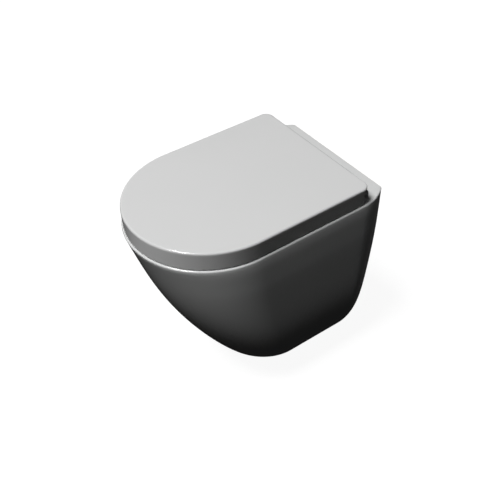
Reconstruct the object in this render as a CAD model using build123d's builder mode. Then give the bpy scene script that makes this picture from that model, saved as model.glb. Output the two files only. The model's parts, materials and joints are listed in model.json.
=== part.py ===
"""Wall-hung toilet pan with a wrap-over lid, seat ring and lift-off soft-close hinge.

Frame: millimetres, +Z up, +Y towards the wall. The origin lies on the wall face, midway
between the two wall studs. The front of the pan points along -Y.
"""

import os
from math import atan, tan

from build123d import *

# ---------------------------------------------------------------- driving dimensions
# Overall ceramic body
pan_half_width = 181.5
pan_projection = 543.5
pan_height = 410.0
rim_above_studs = 80.0
shell_wall = 11.0
deck_thickness = 17.0
rim_edge_radius = 3.5
foot_edge_radius = 14.0
wall_narrowing = 28.0
side_curve_length = 76.0

# Each level of the outer body: share of the height below the rim, then the half width,
# the projection, the half width at the wall and the nose length as shares of the rim's.
body_levels = [
    (0.00, 1.000, 1.000, 1.000, 1.000),
    (0.11, 1.006, 0.974, 0.995, 0.962),
    (0.25, 1.006, 0.938, 0.990, 0.911),
    (0.45, 0.994, 0.880, 0.948, 0.835),
    (0.66, 0.963, 0.802, 0.845, 0.755),
    (0.86, 0.887, 0.707, 0.727, 0.679),
    (1.00, 0.741, 0.632, 0.656, 0.626),
]
nose_length = 193.0

# Bowl: depth below the rim, half width, half length, setback of the centre from the wall
bowl_levels = [
    (0.0, 131.0, 171.0, 321.0),
    (60.0, 125.0, 164.0, 319.0),
    (120.0, 105.0, 138.0, 312.0),
    (170.0, 78.0, 104.0, 300.0),
    (205.0, 52.0, 64.0, 291.0),
    (238.0, 38.0, 42.0, 290.0),
]
bowl_wall = 11.0

# Pieces that lie face to face without touching keep this far apart, and a cut runs
# this far past the face that it opens
touch_gap = 0.3
overrun = 1.0
wall_overrun = 15.0

# Waste and flush connections
stud_spacing = 180.0
inlet_above_studs = 35.0
outlet_below_studs = 100.0
inlet_radius = 27.5
inlet_depth = 45.0
inlet_wall = 10.0
flush_radius = 20.0
trap_radius = 35.0
trap_wall = 10.0
trap_dip_below_rim = 292.0
trap_drop_setback = 290.0
trap_drop_start = 12.0
trap_rise_setback = 165.0
trap_crest_below_rim = 105.0
trap_outlet_run = 62.0
trap_bend_radius = 59.0
trap_crest_radius = 50.0
outlet_radius = 51.0
outlet_bore_radius = 41.0
outlet_length = 50.0
guide_wall = 2.5

# Rear wall of the ceramic and its fixing holes
rear_wall = 24.0
rear_wall_below_studs = 40.0
fixing_hole_radius = 12.0
fixing_boss_radius = 23.0
fixing_boss_length = 78.0
sleeve_clearance = 0.3
sleeve_length = 72.0
stud_bore_radius = 6.2
stud_bore_depth = 44.0
clamp_screw_radius = 4.0
clamp_screw_setback = 58.0
clamp_screw_length = 15.0
clamp_screw_socket_radius = 2.0
clamp_screw_socket_depth = 4.0
clamp_screw_recess = 2.0
sleeve_edge = 1.5
key_hole_radius = 6.0

# Lid
rim_border_side = 1.5
rim_border_front = 2.5
lid_nose = 191.0
lid_setback = 65.0
lid_height = 45.5
lid_gap = 1.5
lid_top_wall = 5.0
lid_skirt = 4.0
lid_draft = 1.5
lid_corner_radius = 20.0
lid_edge_radius = 4.5
lid_rear_wall = 8.0

# Hinge line
hinge_ahead_of_lid_rear = 9.0
hinge_above_rim = 19.5
shaft_radius = 4.0
shaft_clearance = 0.05
shaft_edge = 0.8
shaft_collar_gap = 1.0
knuckle_radius = 13.0
knuckle_width = 18.0
knuckle_gap = 1.0
bush_radius = 6.0

# Hinge bar
bar_half_length = 170.0
bar_barrel_radius = 17.0
bar_base_thickness = 4.0
bar_base_behind_axis = 24.0
bar_base_ahead_of_axis = 17.0
bar_core_half_length = 92.0
bar_seat_gap = 0.3
damper_radius = 10.0
damper_length = 62.0
damper_inner_face = 28.0

# Hinge posts on the deck
post_spacing = 155.0
post_neck_radius = 4.0
post_head_radius = 5.0
post_neck_height = 4.6
post_head_height = 2.2
post_foot_radius = 11.0
post_foot_thickness = 2.0
post_head_edge = 0.6
post_plate_radius = 15.0
post_plate_thickness = 1.0
post_washer_thickness = 0.8
post_washer_border = 0.5
post_socket_clearance = 0.6
deck_hole_radius = 7.0
expansion_sleeve_length = 24.0
post_bolt_radius = 3.0
post_bolt_socket_radius = 1.8
post_bolt_tail = 2.0
post_nut_height = 6.0
post_nut_clearance = 1.0
deck_hole_spare = 4.0

# Release buttons and latches
button_width = 13.0
button_height = 9.0
button_depth = 12.0
button_proud = 2.6
button_behind_axis = 9.0
button_above_base = 2.0
button_travel = 2.5
button_corner_radius = 1.5
button_edge_radius = 0.8
latch_thickness = 1.6
latch_width = 15.0
latch_clearance = 0.3
keyhole_offset = 2.5
tab_thickness = 1.6
tab_width = 7.0
spring_rise = 1.2
spring_pocket = 4.0
spring_radius = 2.6
spring_wire_radius = 0.4
spring_turns = 5

# Seat ring
seat_lift = 3.5
seat_thickness = 23.5
seat_side_clearance = 3.0
seat_edge_radius = 6.0
seat_hole_half_width = 112.0
seat_hole_half_length = 153.0
seat_hole_setback = 324.0
seat_corner_radius = 10.0
seat_bar_gap = 2.0
seat_rib_width = 9.0
buffer_length = 34.0
buffer_width = 12.0
buffer_edge_radius = 1.2
buffer_land = 4.0
lid_buffer_radius = 8.0
lid_buffer_taper = -8.0
lid_buffer_edge_radius = 1.5
seat_groove_depth = 6.0
seat_arm_drop = 2.0
seat_arm_height = 12.0
# Front and rear seat buffers on the right-hand side: x, y and their turn from the Y axis
seat_buffers_at = [(146.0, -200.0, 0.0), (122.0, -430.0, 38.0)]

# ---------------------------------------------------------------- derived places
rim_z = rim_above_studs
deck_bottom_z = rim_z - deck_thickness
wall_half_width = pan_half_width - wall_narrowing
lid_half_width = pan_half_width - rim_border_side
lid_front_y = rim_border_front - pan_projection
lid_bottom_z = rim_z + lid_gap
lid_top_z = lid_bottom_z + lid_height
lid_rear_y = -lid_setback
hinge_y = lid_rear_y - hinge_ahead_of_lid_rear
hinge_z = rim_z + hinge_above_rim
seat_bottom_z = rim_z + seat_lift
seat_top_z = seat_bottom_z + seat_thickness
seat_rear_y = hinge_y - bar_barrel_radius - seat_bar_gap
bar_bottom_z = rim_z + post_washer_thickness + post_plate_thickness + bar_seat_gap
seat_knuckle_x = bar_core_half_length + knuckle_gap + knuckle_width / 2
lid_knuckle_x = seat_knuckle_x + knuckle_width + knuckle_gap
bar_end_inner_x = lid_knuckle_x + knuckle_width / 2 + knuckle_gap
running_bore = shaft_radius + shaft_clearance
sleeve_radius = fixing_hole_radius - sleeve_clearance
sides = {"left": -1, "right": 1}


def at_level(share, inset=0.0):
    """The outer body's outline at a share of its height, drawn inset by a wall."""
    for low, high in zip(body_levels, body_levels[1:]):
        if share <= high[0]:
            break
    step = (share - low[0]) / (high[0] - low[0])
    width, reach, back, nose = (a + (b - a) * step for a, b in zip(low[1:], high[1:]))
    return (
        pan_half_width * width - inset,
        pan_projection * reach - inset,
        wall_half_width * back - inset,
        nose_length * nose - inset,
    )


def draw_body_outline(half_width, reach, wall_half, nose):
    """Sides that curve out from the wall, straight flanks and an elliptical nose.

    The sides run on straight past the wall face, so that the face is a clean cut.
    """
    nose_y = nose - reach
    turn = 2 * atan((half_width - wall_half) / side_curve_length)
    back_half = wall_half - wall_overrun * tan(turn)
    Line((-back_half, wall_overrun), (back_half, wall_overrun))
    for side in (1, -1):
        Line((side * back_half, wall_overrun), (side * wall_half, 0))
        TangentArc(
            (side * half_width, -side_curve_length),
            (side * wall_half, 0),
            tangent=(0, 1),
        )
        Line((side * half_width, -side_curve_length), (side * half_width, nose_y))
    EllipticalCenterArc((0, nose_y), half_width, nose, 270, arc_size=90)
    EllipticalCenterArc((0, nose_y), half_width, nose, 180, arc_size=90)


def draw_seat_outline(inset, rear_y):
    """D-shaped outline shared by the lid and the seat ring."""
    half_width = lid_half_width - inset
    nose_y = lid_front_y + lid_nose
    Polyline((half_width, nose_y), (half_width, rear_y), (-half_width, rear_y), (-half_width, nose_y))
    EllipticalCenterArc((0, nose_y), half_width, lid_nose - inset, 180, arc_size=180)


def sketch_body(share, inset=0.0):
    """One level of the body as a sketch on its own plane."""
    with BuildSketch(Plane.XY.offset(rim_z - share * pan_height)) as level:
        with BuildLine():
            draw_body_outline(*at_level(share, inset))
        make_face()
    return level.sketch


def bowl_loft(wall):
    """The bowl as a solid, grown sideways and downwards by a wall."""
    with BuildPart() as bowl:
        for depth, half_width, half_length, setback in bowl_levels:
            below = wall if depth == bowl_levels[-1][0] else 0.0
            with BuildSketch(Plane.XY.offset(rim_z - depth - below)):
                with Locations((0, -setback)):
                    Ellipse(half_width + wall, half_length + wall)
        loft()
    return bowl.part


def trap_sweep(radius):
    """The trapway: down behind the bowl, up over the weir and out towards the wall."""
    drop_z = rim_z - bowl_levels[-1][0] + trap_drop_start
    dip_z = rim_z - trap_dip_below_rim
    crest_z = rim_z - trap_crest_below_rim
    outlet_z = -outlet_below_studs
    corners = [
        (0, -trap_drop_setback, drop_z),
        (0, -trap_drop_setback, dip_z),
        (0, -trap_rise_setback, dip_z),
        (0, -trap_rise_setback, crest_z),
        (0, -trap_outlet_run, outlet_z),
        (0, -overrun, outlet_z),
    ]
    bends = [trap_bend_radius, trap_bend_radius, trap_crest_radius, trap_bend_radius]
    with BuildPart() as trap:
        with BuildLine() as route:
            FilletPolyline(*corners, radius=bends)
        with BuildSketch(Plane(origin=corners[0], z_dir=(0, 0, -1))):
            Circle(radius)
        sweep(path=route.wires()[0])
    return trap.part


# ---------------------------------------------------------------- ceramic pan
bowl_outer = bowl_loft(bowl_wall)
bowl_inner = bowl_loft(0.0)
trap_outer = trap_sweep(trap_radius + trap_wall)
trap_inner = trap_sweep(trap_radius)
inlet_reach = bowl_levels[0][3] - bowl_levels[0][2] + bowl_wall
stud_places = [(-stud_spacing / 2, 0), (stud_spacing / 2, 0)]
screw_places = [(x, -clamp_screw_setback) for x, _ in stud_places]
post_places = [(-post_spacing / 2, hinge_y), (post_spacing / 2, hinge_y)]
inlet_place = (0, inlet_above_studs)
outlet_place = (0, -outlet_below_studs)

socket_radius = inlet_radius + inlet_wall

with BuildPart() as hollow:
    top_share = deck_thickness / pan_height
    floor_share = 1.0 - shell_wall / pan_height
    for share in [top_share] + [level[0] for level in body_levels[1:-1]] + [floor_share]:
        add(sketch_body(share, shell_wall))
    loft()
    # the rear wall that carries the studs and the flush inlet stays solid
    with Locations((0, 0, (rim_z - rear_wall_below_studs) / 2)):
        Box(
            2 * pan_half_width,
            2 * rear_wall,
            rim_z + rear_wall_below_studs,
            mode=Mode.SUBTRACT,
        )
    with BuildSketch(Plane.XZ.offset(-overrun)):
        with Locations(stud_places):
            Circle(fixing_boss_radius)
    extrude(amount=fixing_boss_length, mode=Mode.SUBTRACT)

# The deck, the skirt around the sides and the rear wall
with BuildPart() as ceramic_pan:
    for level in body_levels:
        add(sketch_body(level[0]))
    loft()
    rim_face = ceramic_pan.faces().sort_by(Axis.Z)[-1]
    side_range = (-pan_projection, wall_overrun - overrun)
    rim_edges = rim_face.edges().filter_by_position(Axis.Y, *side_range)
    fillet(rim_edges, rim_edge_radius)
    foot_face = ceramic_pan.faces().sort_by(Axis.Z)[0]
    foot_edges = foot_face.edges().filter_by_position(Axis.Y, *side_range)
    fillet(foot_edges, foot_edge_radius)
    with BuildSketch(Plane.XZ):
        with Locations((0, rim_z)):
            Rectangle(2 * pan_half_width, pan_height, align=(Align.CENTER, Align.MAX))
    extrude(amount=-2 * wall_overrun, mode=Mode.SUBTRACT)
    add(hollow.part, mode=Mode.SUBTRACT)
    add(bowl_inner, mode=Mode.SUBTRACT)
    with BuildSketch(Plane.XZ):
        with Locations(inlet_place):
            Circle(socket_radius + touch_gap)
    extrude(amount=inlet_depth + touch_gap, mode=Mode.SUBTRACT)
    with BuildSketch(Plane.XZ):
        with Locations(stud_places):
            Circle(fixing_hole_radius)
    extrude(amount=sleeve_length + sleeve_clearance, mode=Mode.SUBTRACT)
    with BuildSketch(Plane.XY.offset(-fixing_boss_radius - overrun)):
        with Locations(screw_places):
            Circle(key_hole_radius)
    extrude(amount=fixing_boss_radius, mode=Mode.SUBTRACT)
    deck_hole_depth = expansion_sleeve_length + post_nut_height + deck_hole_spare
    with BuildSketch(Plane.XY.offset(rim_z - deck_hole_depth)):
        with Locations(post_places):
            Circle(deck_hole_radius)
    extrude(amount=deck_hole_depth + overrun, mode=Mode.SUBTRACT)
ceramic_pan.part.label = "ceramic_pan"

# The china socket that takes the flush pipe, luted into the rear wall
with BuildPart() as flush_socket:
    with BuildSketch(Plane.XZ):
        with Locations(inlet_place):
            Circle(socket_radius)
            Circle(inlet_radius, mode=Mode.SUBTRACT)
    extrude(amount=inlet_depth)
flush_socket.part.label = "flush_socket"

# The bowl with its flush tube, cast apart and luted under the deck
with BuildPart() as ceramic_bowl:
    add(bowl_outer)
    with BuildSketch(Plane.XZ.offset(inlet_depth)):
        with Locations(inlet_place):
            Circle(socket_radius)
    extrude(amount=inlet_reach - inlet_depth)
    with Locations((0, 0, deck_bottom_z)):
        Box(
            2 * pan_half_width,
            2 * pan_projection,
            2 * deck_thickness,
            align=(Align.CENTER, Align.CENTER, Align.MIN),
            mode=Mode.SUBTRACT,
        )
    add(bowl_inner, mode=Mode.SUBTRACT)
    add(trap_inner, mode=Mode.SUBTRACT)
    with BuildSketch(Plane.XZ):
        with Locations(inlet_place):
            Circle(flush_radius)
    extrude(amount=inlet_reach + bowl_wall, mode=Mode.SUBTRACT)
ceramic_bowl.part.label = "ceramic_bowl"

# The trapway and its waste spigot, luted to the bowl
with BuildPart() as ceramic_trap:
    add(trap_outer)
    with BuildSketch(Plane.XZ):
        with Locations(outlet_place):
            Circle(outlet_radius)
    extrude(amount=outlet_length)
    add(trap_inner, mode=Mode.SUBTRACT)
    with BuildSketch(Plane.XZ):
        with Locations(outlet_place):
            Circle(outlet_bore_radius)
    extrude(amount=outlet_length - trap_wall, mode=Mode.SUBTRACT)
    add(bowl_loft(bowl_wall + touch_gap), mode=Mode.SUBTRACT)
    with BuildSketch(Plane.XZ.offset(inlet_depth)):
        with Locations(inlet_place):
            Circle(socket_radius + touch_gap)
    extrude(amount=inlet_reach - inlet_depth, mode=Mode.SUBTRACT)
ceramic_trap.part.label = "ceramic_trap"

# ---------------------------------------------------------------- wall fixings
with BuildPart() as fixing_sleeves:
    with BuildSketch(Plane.XZ):
        with Locations(stud_places):
            Circle(sleeve_radius)
    extrude(amount=sleeve_length)
    chamfer(fixing_sleeves.edges().group_by(Axis.Y)[0], sleeve_edge)
    with BuildSketch(Plane.XZ):
        with Locations(stud_places):
            Circle(stud_bore_radius)
    extrude(amount=stud_bore_depth, mode=Mode.SUBTRACT)
    with BuildSketch(Plane.XY.offset(-fixing_hole_radius)):
        with Locations(screw_places):
            Circle(clamp_screw_radius)
    extrude(amount=fixing_hole_radius + stud_bore_radius, mode=Mode.SUBTRACT)
fixing_sleeves.part.label = "fixing_sleeves"

with BuildPart() as clamp_screws:
    screw_bottom_z = -clamp_screw_length / 2 - clamp_screw_recess
    with BuildSketch(Plane.XY.offset(screw_bottom_z)):
        with Locations(screw_places):
            Circle(clamp_screw_radius)
    extrude(amount=clamp_screw_length)
    with BuildSketch(Plane.XY.offset(screw_bottom_z)):
        with Locations(screw_places):
            RegularPolygon(clamp_screw_socket_radius, 6)
    extrude(amount=clamp_screw_socket_depth, mode=Mode.SUBTRACT)
clamp_screws.part.label = "clamp_screws"

# A plastic spout in the flush passage that turns the water both ways round the rim
with BuildPart() as flush_guide:
    spout_length = inlet_reach - inlet_depth - bowl_wall
    with BuildSketch(Plane.XZ.offset(inlet_depth + touch_gap)):
        with Locations(inlet_place):
            Circle(flush_radius - touch_gap)
            Circle(flush_radius - guide_wall, mode=Mode.SUBTRACT)
    extrude(amount=spout_length)
    with BuildSketch(Plane.XZ.offset(inlet_depth + spout_length - guide_wall)):
        with Locations(inlet_place):
            Rectangle(2 * guide_wall, 2 * (flush_radius - guide_wall))
    extrude(amount=guide_wall + touch_gap)
flush_guide.part.label = "flush_guide"

# ---------------------------------------------------------------- hinge posts on the deck
washer_top_z = rim_z + post_washer_thickness
plate_top_z = washer_top_z + post_plate_thickness
post_top_z = plate_top_z + post_neck_height + post_head_height
bolt_bottom_z = rim_z - expansion_sleeve_length - post_nut_height - post_bolt_tail


def disc_stack(steps):
    """Coaxial cylinders at each post: (bottom height, top height, radius, bore radius)."""
    with BuildPart() as stack:
        for bottom_z, top_z, radius, bore in steps:
            with BuildSketch(Plane.XY.offset(bottom_z)):
                with Locations(post_places):
                    Circle(radius)
                    if bore:
                        Circle(bore, mode=Mode.SUBTRACT)
            extrude(amount=top_z - bottom_z)
    return stack.part


with BuildPart() as post_washers:
    washer_radius = post_plate_radius + post_washer_border
    add(disc_stack([(rim_z, washer_top_z, washer_radius, deck_hole_radius)]))
post_washers.part.label = "post_washers"

with BuildPart() as post_plates:
    add(disc_stack([(washer_top_z, plate_top_z, post_plate_radius, post_bolt_radius)]))
post_plates.part.label = "post_plates"

with BuildPart() as hinge_posts:
    neck_top_z = plate_top_z + post_neck_height
    foot_top_z = plate_top_z + post_foot_thickness
    add(disc_stack([
        (plate_top_z, foot_top_z, post_foot_radius, post_bolt_radius),
        (foot_top_z, neck_top_z, post_neck_radius, post_bolt_radius),
        (neck_top_z, post_top_z, post_head_radius, post_bolt_radius),
    ]))
    chamfer(hinge_posts.edges().group_by(Axis.Z)[-1].sort_by(SortBy.LENGTH)[-2:], post_head_edge)
hinge_posts.part.label = "hinge_posts"

with BuildPart() as post_bolts:
    add(disc_stack([(bolt_bottom_z, post_top_z, post_bolt_radius, 0)]))
    with BuildSketch(Plane.XY.offset(post_top_z)):
        with Locations(post_places):
            RegularPolygon(post_bolt_socket_radius, 6)
    extrude(amount=-post_head_height, mode=Mode.SUBTRACT)
post_bolts.part.label = "post_bolts"

with BuildPart() as expansion_sleeves:
    sleeve_bottom_z = rim_z - expansion_sleeve_length
    add(disc_stack([(sleeve_bottom_z, rim_z, deck_hole_radius - touch_gap, post_bolt_radius)]))
expansion_sleeves.part.label = "expansion_sleeves"

with BuildPart() as expansion_nuts:
    with BuildSketch(Plane.XY.offset(sleeve_bottom_z - post_nut_height)):
        with Locations(post_places):
            RegularPolygon(deck_hole_radius - post_nut_clearance, 6)
            Circle(post_bolt_radius, mode=Mode.SUBTRACT)
    extrude(amount=post_nut_height)
expansion_nuts.part.label = "expansion_nuts"

# ---------------------------------------------------------------- hinge bar
base_top_z = bar_bottom_z + bar_base_thickness
button_y = hinge_y + button_behind_axis
button_z = base_top_z + button_above_base + button_height / 2
button_hole_depth = button_depth + 2 * button_travel
latch_bottom_z = bar_bottom_z + post_foot_thickness + latch_clearance
latch_inner_x = post_spacing / 2 - latch_width / 2
latch_outer_x = bar_half_length - button_depth

with BuildPart() as hinge_bar:
    with BuildSketch(Plane.YZ.offset(-bar_half_length)):
        with Locations((hinge_y, hinge_z)):
            Circle(bar_barrel_radius)
        with Locations((hinge_y, (hinge_z + bar_bottom_z) / 2)):
            Rectangle(2 * bar_barrel_radius, hinge_z - bar_bottom_z)
        with Locations((hinge_y + bar_base_behind_axis, bar_bottom_z)):
            Rectangle(
                bar_base_ahead_of_axis + bar_base_behind_axis,
                bar_base_thickness,
                align=(Align.MAX, Align.MIN),
            )
    extrude(amount=2 * bar_half_length)
    # windows for the knuckles of the seat and the lid, open above the base
    for side in sides.values():
        window_x = side * (bar_core_half_length + bar_end_inner_x) / 2
        with Locations((window_x, hinge_y, base_top_z)):
            Box(
                bar_end_inner_x - bar_core_half_length,
                3 * bar_barrel_radius,
                3 * bar_barrel_radius,
                align=(Align.CENTER, Align.CENTER, Align.MIN),
                mode=Mode.SUBTRACT,
            )
        with BuildSketch(Plane.YZ.offset(side * damper_inner_face)):
            with Locations((hinge_y, hinge_z)):
                Circle(damper_radius)
        extrude(amount=side * damper_length, mode=Mode.SUBTRACT)
        with BuildSketch(Plane.YZ.offset(side * (damper_inner_face + damper_length))):
            with Locations((hinge_y, hinge_z)):
                Circle(shaft_radius + shaft_collar_gap)
        core_end = bar_core_half_length - damper_inner_face - damper_length + overrun
        extrude(amount=side * core_end, mode=Mode.SUBTRACT)
        # pocket for the release button and its spring
        with BuildSketch(Plane.YZ.offset(side * bar_half_length)):
            with Locations((button_y, button_z)):
                Rectangle(button_width + 2 * touch_gap, button_height + 2 * touch_gap)
        extrude(amount=-side * button_hole_depth, mode=Mode.SUBTRACT)
        # slot under the base for the latch
        slot_length = latch_outer_x - latch_inner_x + 3 * button_travel
        slot_x = side * (latch_inner_x - 2 * button_travel + slot_length / 2)
        with Locations((slot_x, hinge_y, bar_bottom_z)):
            Box(
                slot_length,
                latch_width + 2 * latch_clearance,
                latch_bottom_z + latch_thickness + latch_clearance - bar_bottom_z,
                align=(Align.CENTER, Align.CENTER, Align.MIN),
                mode=Mode.SUBTRACT,
            )
        # slot that the latch's upright tab rises through, up into the button's pocket
        with Locations((side * (latch_outer_x + tab_thickness / 2), button_y, bar_bottom_z)):
            Box(
                tab_thickness + 2 * button_travel + 2 * latch_clearance,
                tab_width + 2 * latch_clearance,
                button_z - bar_bottom_z,
                align=(Align.CENTER, Align.CENTER, Align.MIN),
                mode=Mode.SUBTRACT,
            )
    with BuildSketch(Plane.XY.offset(bar_bottom_z)):
        with Locations(post_places):
            Circle(post_foot_radius + post_socket_clearance)
    extrude(amount=post_foot_thickness + latch_clearance, mode=Mode.SUBTRACT)
    with BuildSketch(Plane.XY.offset(bar_bottom_z)):
        with Locations(post_places):
            Circle(post_head_radius + post_socket_clearance)
    extrude(amount=post_top_z - bar_bottom_z + post_socket_clearance, mode=Mode.SUBTRACT)
hinge_bar.part.label = "hinge_bar"

# ---------------------------------------------------------------- dampers and their shafts
shaft_inner_x = damper_inner_face + damper_length / 3
shaft_outer_x = lid_knuckle_x + knuckle_width / 2
driven = {"seat_damper": -1, "lid_damper": 1}
dampers, shafts = {}, {}
for name, side in driven.items():
    with BuildPart() as damper:
        with BuildSketch(Plane.YZ.offset(side * damper_inner_face)):
            with Locations((hinge_y, hinge_z)):
                Circle(damper_radius)
        extrude(amount=side * damper_length)
        with BuildSketch(Plane.YZ.offset(side * shaft_inner_x)):
            with Locations((hinge_y, hinge_z)):
                Circle(running_bore)
        extrude(amount=side * damper_length, mode=Mode.SUBTRACT)
    dampers[name] = damper.part
    dampers[name].label = name + "_body"
    with BuildPart() as shaft:
        with BuildSketch(Plane.YZ.offset(side * (shaft_inner_x + touch_gap))):
            with Locations((hinge_y, hinge_z)):
                Circle(shaft_radius)
        extrude(amount=side * (shaft_outer_x - shaft_inner_x - touch_gap))
        chamfer(shaft.edges().group_by(Axis.X)[-1 if side > 0 else 0], shaft_edge)
    shafts[name] = shaft.part
    shafts[name].label = name + "_shaft"

# ---------------------------------------------------------------- release buttons and latches
buttons, latches, springs = {}, {}, {}
for name, side in sides.items():
    with BuildPart() as button:
        with BuildSketch(Plane.YZ.offset(side * (bar_half_length + button_proud))):
            with Locations((button_y, button_z)):
                RectangleRounded(button_width, button_height, button_corner_radius)
        extrude(amount=-side * (button_depth + button_proud))
        outer_face = button.faces().sort_by(Axis.X)[-1 if side > 0 else 0]
        fillet(outer_face.edges(), button_edge_radius)
        inner_x = side * latch_outer_x
        with BuildSketch(Plane.YZ.offset(inner_x)):
            with Locations((button_y, button_z + spring_rise)):
                Circle(spring_radius + touch_gap)
        extrude(amount=side * spring_pocket, mode=Mode.SUBTRACT)
        with Locations((inner_x, button_y, button_z - button_height / 2)):
            Box(
                2 * tab_thickness,
                tab_width,
                button_height / 2,
                align=(Align.CENTER, Align.CENTER, Align.MIN),
                mode=Mode.SUBTRACT,
            )
    buttons[name] = button.part
    buttons[name].label = f"release_button_{name}"

    with BuildPart() as latch:
        with BuildSketch(Plane.XY.offset(latch_bottom_z)):
            with Locations((side * (latch_inner_x + latch_outer_x + tab_thickness) / 2, hinge_y)):
                Rectangle(latch_outer_x + tab_thickness - latch_inner_x, latch_width)
            with Locations((side * post_spacing / 2, hinge_y)):
                Rectangle(
                    4 * post_head_radius,
                    2 * (post_neck_radius + latch_clearance),
                    mode=Mode.SUBTRACT,
                )
            with Locations((side * (post_spacing / 2 + keyhole_offset), hinge_y)):
                Circle(post_head_radius + latch_clearance, mode=Mode.SUBTRACT)
        extrude(amount=latch_thickness)
        tab_height = button_z + spring_rise - spring_radius - latch_clearance - latch_bottom_z
        with Locations((side * (latch_outer_x + tab_thickness / 2), button_y, latch_bottom_z)):
            Box(tab_thickness, tab_width, tab_height, align=(Align.CENTER, Align.CENTER, Align.MIN))
        with Locations((side * (latch_outer_x + tab_thickness / 2), hinge_y, latch_bottom_z)):
            Box(
                tab_thickness,
                button_behind_axis + tab_width / 2,
                latch_thickness,
                align=(Align.CENTER, Align.MIN, Align.MIN),
            )
    latches[name] = latch.part
    latches[name].label = f"latch_{name}"

    pocket_end_x = bar_half_length - button_hole_depth
    spring_length = latch_outer_x + spring_pocket - pocket_end_x - 2 * touch_gap
    spring_start_x = pocket_end_x + touch_gap + spring_wire_radius
    spring_start = (side * spring_start_x, button_y, button_z + spring_rise)
    with BuildPart() as spring:
        with BuildLine() as coil:
            Helix(
                pitch=(spring_length - 2 * spring_wire_radius) / spring_turns,
                height=spring_length - 2 * spring_wire_radius,
                radius=spring_radius - spring_wire_radius,
                center=spring_start,
                direction=(side, 0, 0),
            )
        coil_wire = coil.wires()[0]
        with BuildSketch(Plane(origin=coil_wire @ 0, z_dir=coil_wire % 0)):
            Circle(spring_wire_radius)
        sweep(path=coil_wire, is_frenet=True)
    springs[name] = spring.part
    springs[name].label = f"button_spring_{name}"

# ---------------------------------------------------------------- seat ring
buffer_places = [(-x, y, -turn) for x, y, turn in seat_buffers_at] + seat_buffers_at


def knuckle(centre_x, width, radius):
    """A hinge knuckle: a disc about the hinge line."""
    with BuildPart() as disc:
        with BuildSketch(Plane.YZ.offset(centre_x - width / 2)):
            with Locations((hinge_y, hinge_z)):
                Circle(radius)
        extrude(amount=width)
    return disc.part


with BuildPart() as seat_ring:
    seat_inset = lid_skirt + lid_draft + seat_side_clearance
    with BuildSketch(Plane.XY.offset(seat_bottom_z)) as ring:
        with BuildLine():
            draw_seat_outline(seat_inset, seat_rear_y)
        make_face()
        fillet(ring.vertices().group_by(Axis.Y)[-1], seat_corner_radius)
        with Locations((0, -seat_hole_setback)):
            Ellipse(seat_hole_half_width, seat_hole_half_length, mode=Mode.SUBTRACT)
    extrude(amount=seat_thickness)
    fillet(seat_ring.faces().sort_by(Axis.Z)[-1].edges(), seat_edge_radius)
    # shallow groove under the ring, left out where the buffers sit
    with BuildSketch(Plane.XY.offset(seat_bottom_z)) as groove:
        with BuildLine():
            draw_seat_outline(seat_inset + seat_rib_width, seat_rear_y - seat_rib_width)
        make_face()
        with Locations((0, -seat_hole_setback)):
            Ellipse(
                seat_hole_half_width + seat_rib_width,
                seat_hole_half_length + seat_rib_width,
                mode=Mode.SUBTRACT,
            )
        for x, y, turn in buffer_places:
            with Locations(Location((x, y, 0), (0, 0, turn))):
                Rectangle(4 * buffer_width, buffer_length + buffer_land, mode=Mode.SUBTRACT)
    extrude(amount=seat_groove_depth, mode=Mode.SUBTRACT)
    # hinge arms reach back from the ring to the knuckles
    for side in sides.values():
        centre_x = side * seat_knuckle_x
        with BuildSketch(Plane.YZ.offset(centre_x - knuckle_width / 2)):
            with Locations((hinge_y, hinge_z)):
                Circle(knuckle_radius)
            with Locations((hinge_y, hinge_z - seat_arm_drop)):
                Rectangle(
                    hinge_y - seat_rear_y + seat_edge_radius,
                    seat_arm_height,
                    align=(Align.MAX, Align.CENTER),
                )
        extrude(amount=knuckle_width)
    add(knuckle(seat_knuckle_x, 2 * knuckle_width, bush_radius), mode=Mode.SUBTRACT)
    add(knuckle(-seat_knuckle_x, 2 * knuckle_width, shaft_radius), mode=Mode.SUBTRACT)
seat_ring.part.label = "seat_ring"

with BuildPart() as seat_bush:
    add(knuckle(seat_knuckle_x, knuckle_width, bush_radius))
    add(knuckle(seat_knuckle_x, knuckle_width, running_bore), mode=Mode.SUBTRACT)
seat_bush.part.label = "seat_bush"

with BuildPart() as seat_buffers:
    with BuildSketch(Plane.XY.offset(rim_z + touch_gap)):
        for x, y, turn in buffer_places:
            with Locations(Location((x, y, 0), (0, 0, turn))):
                SlotOverall(buffer_length, buffer_width, rotation=90)
    extrude(amount=seat_lift - touch_gap)
    fillet(seat_buffers.edges().group_by(Axis.Z)[0], buffer_edge_radius)
seat_buffers.part.label = "seat_buffers"

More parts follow.
